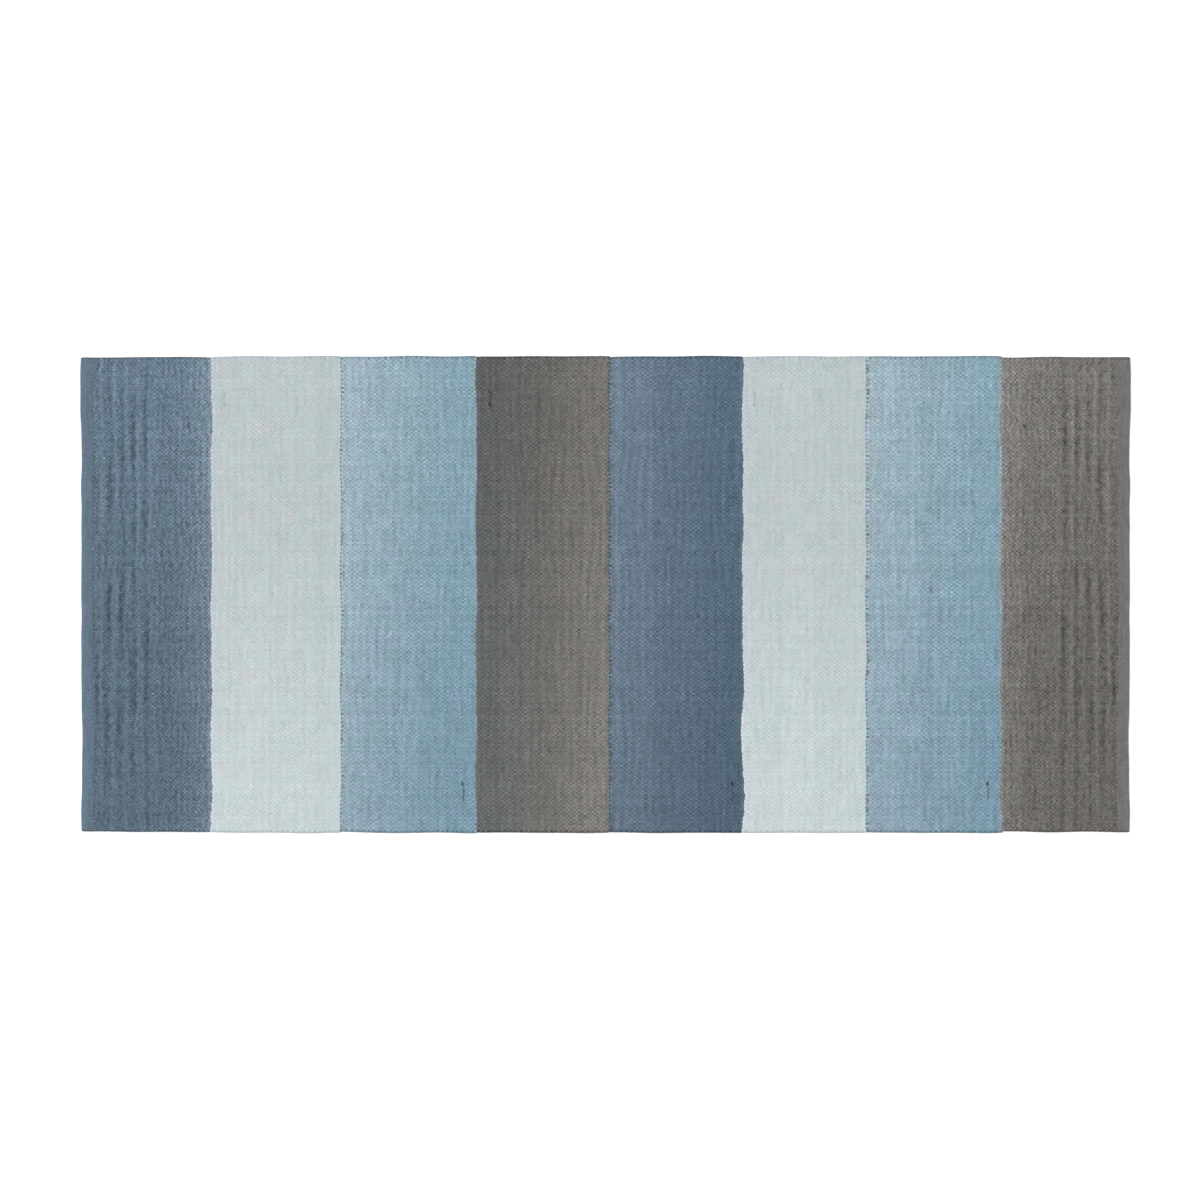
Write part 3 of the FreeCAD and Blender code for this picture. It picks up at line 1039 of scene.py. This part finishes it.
def hem_piece(node, side, material):
    """One hem, cloth turned under at an end of the rug. side is -1 at the left end and 1 at the right."""
    low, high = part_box(node)
    band_number = 0 if side < 0 else len(BANDS) - 1
    seam_x = abs(BOUNDARIES[0 if side < 0 else -1]["x"])
    outer_x = max(abs(low.x), abs(high.x))
    width = outer_x - seam_x + HEM_OVERLAP
    half_width = high.y - TURN_INSET - HEM_INSET
    distance, height, out_in, out_up, skin = hem_profile(width)
    y = hem_rows(half_width)
    warp = (y + SELVEDGE_Y) / WARP_SPACING
    pick = np.concatenate([[0], np.cumsum(np.hypot(np.diff(distance), np.diff(height)))]) / HEM_PICK

    near_seam = smooth_step(width - RIB_LENGTH, width - 1.5 * MM, distance) * skin
    groove = (1 - np.cos(np.pi * warp)) / 2 * near_seam
    rise = hem_rise(pick, warp, groove, distance, width, out_up, skin)
    x = side * (hem_outline(y, distance, outer_x, width, half_width) - out_in * rise)
    thinner = smooth_step(half_width - 2.0 * MM, half_width + 0.3 * MM, np.abs(y))
    z = MID_Z + (height + out_up * rise) * (1 - 0.45 * thinner)
    from_start = x - BOUNDARIES[band_number]["x"] if side > 0 else 0 * x
    y = y * (1 - edge_inset(band_number, x, from_start, y > 0) / SELVEDGE_Y)
    points = np.stack([x, y, np.maximum(z, FLOOR_Z)], -1)

    rows, ring = x.shape
    faces = tube_faces(rows, ring)
    flat_from = len(faces)
    faces += [list(range(ring))[::-1], [(rows - 1) * ring + corner for corner in range(ring)]]
    if side < 0:
        faces = [face[::-1] for face in faces]
    ones = np.ones_like(x)
    # seam and edge also mask the painted shade in the grooves by the seam and along the rounded long edge.
    attributes = {
        "pick": pick * ones,
        "warp": warp * ones,
        "seam": groove,
        "edge": smooth_step(half_width - 3.2 * MM, half_width - 1.4 * MM, np.abs(y)) * ones,
    }
    piece = add_piece(node + "_cloth", points.reshape(-1, 3), faces, flat_from, attributes, material)
    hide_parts(node)
    return piece


left_hem = hem_piece("left_hem", -1, hem_cotton("slate_hem", (100, 121, 136), (105, 119, 139)))
right_hem = hem_piece("right_hem", 1, hem_cotton("warm_grey_hem", (114, 114, 111), (119, 114, 113)))


# ------------------------------ hem stitching
STITCH_RADIUS = 0.36 * MM
STITCH_LENGTH = 5.0 * MM
STITCH_OFFSET = 2.6 * MM        # how far out from the seam a stitch's middle lies
STITCH_DEPTH = 0.62 * MM        # how far its middle line lies below the top of the cloth


def hem_stitches(node, side, seam_x, material):
    """Stitches over the seam of a hem, one beside every second warp thread, on both faces of the rug."""
    rng = np.random.default_rng(300 + side)
    parts = []
    bend = np.array([-1.0, -0.86, -0.45, 0.0, 0.45, 0.86, 1.0])
    sink = np.array([-1.3, -0.45, -0.05, 0.05, -0.05, -0.45, -1.3]) * MM
    for warp in range(1, WARP_GAPS, 2):
        y = -SELVEDGE_Y + warp * WARP_SPACING
        middle = seam_x + STITCH_OFFSET + seam_bulge(y) + rng.normal(0, 0.25) * MM
        length = STITCH_LENGTH * rng.uniform(0.75, 1.15)
        slant = rng.normal(0, 0.35) * MM
        for face in (1, -1):
            depth = STITCH_DEPTH if face > 0 else STITCH_RADIUS + 0.05 * MM
            path = np.stack([
                side * (middle + bend * length / 2),
                y + slant * bend,
                MID_Z + face * (THICKNESS / 2 - depth + sink),
            ], -1)
            parts.append(thread_tube(path, STITCH_RADIUS, 6))
    points, faces = joined(parts)
    piece = add_piece(node + "_thread", points, faces, material=material)
    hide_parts(node)
    return piece


left_stitches = hem_stitches(
    "left_hem_stitching", -1, abs(BOUNDARIES[0]["x"]), thread_material("slate_thread", (88, 106, 120)))
right_stitches = hem_stitches(
    "right_hem_stitching", 1, abs(BOUNDARIES[-1]["x"]), thread_material("warm_grey_thread", (100, 98, 94)))


# ------------------------------ floor, light and camera
def studio_floor():
    size = 30.0
    mesh = bpy.data.meshes.new("studio_floor")
    half = size / 2
    drop = 0.05 * MM
    corners = [(-half, -half), (half, -half), (half, half), (-half, half)]
    mesh.from_pydata([(x, y, FLOOR_Z - drop) for x, y in corners], [], [(0, 1, 2, 3)])
    mesh.materials.append(floor_material())
    floor = bpy.data.objects.new("studio_floor", mesh)
    bpy.context.scene.collection.objects.link(floor)
    return floor


def studio_light():
    """An even white surround with one very broad light overhead."""
    world = bpy.data.worlds.new("studio")
    world.use_nodes = True
    background = world.node_tree.nodes["Background"]
    background.inputs["Color"].default_value = (1.0, 1.0, 1.0, 1.0)
    background.inputs["Strength"].default_value = SURROUND
    bpy.context.scene.world = world
    overhead = bpy.data.lights.new("overhead", "SUN")
    overhead.energy = SUN
    overhead.angle = math.radians(30)
    lamp = bpy.data.objects.new("overhead", overhead)
    lamp.rotation_euler = (0, -SUN_TILT, math.radians(-35))
    bpy.context.scene.collection.objects.link(lamp)
    bpy.context.scene.view_settings.view_transform = "Standard"


def overhead_camera():
    """A long lens straight above the rug, which fills most of the frame's width."""
    frame_width = 1.508
    aim = Vector((-6.9 * MM, 7.5 * MM, 0))
    camera_data = bpy.data.cameras.new("overhead_camera")
    camera_data.lens = 90
    camera_data.sensor_width = 36
    camera = bpy.data.objects.new("overhead_camera", camera_data)
    distance = frame_width * camera_data.lens / camera_data.sensor_width
    camera.location = (aim.x, aim.y, cad_high.z + distance)
    camera_data.clip_end = 100
    bpy.context.scene.collection.objects.link(camera)
    bpy.context.scene.camera = camera


floor = studio_floor()
studio_light()
overhead_camera()


# ------------------------------ hide the model's own parts, and gather each band's trimmings
picks_in_order = iter(dark_picks)
for number, (name, band) in enumerate(zip(BANDS, bands)):
    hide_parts(name, "warp_threads", "front_selvedge_cord", "back_selvedge_cord")
    trimmings = []
    if number == 0:
        trimmings = [left_hem, left_stitches]
    if number == len(BANDS) - 1:
        trimmings = [right_hem, right_stitches]
    if BOUNDARIES[number + 1]["has_dark_pick"]:
        trimmings = [next(picks_in_order)]
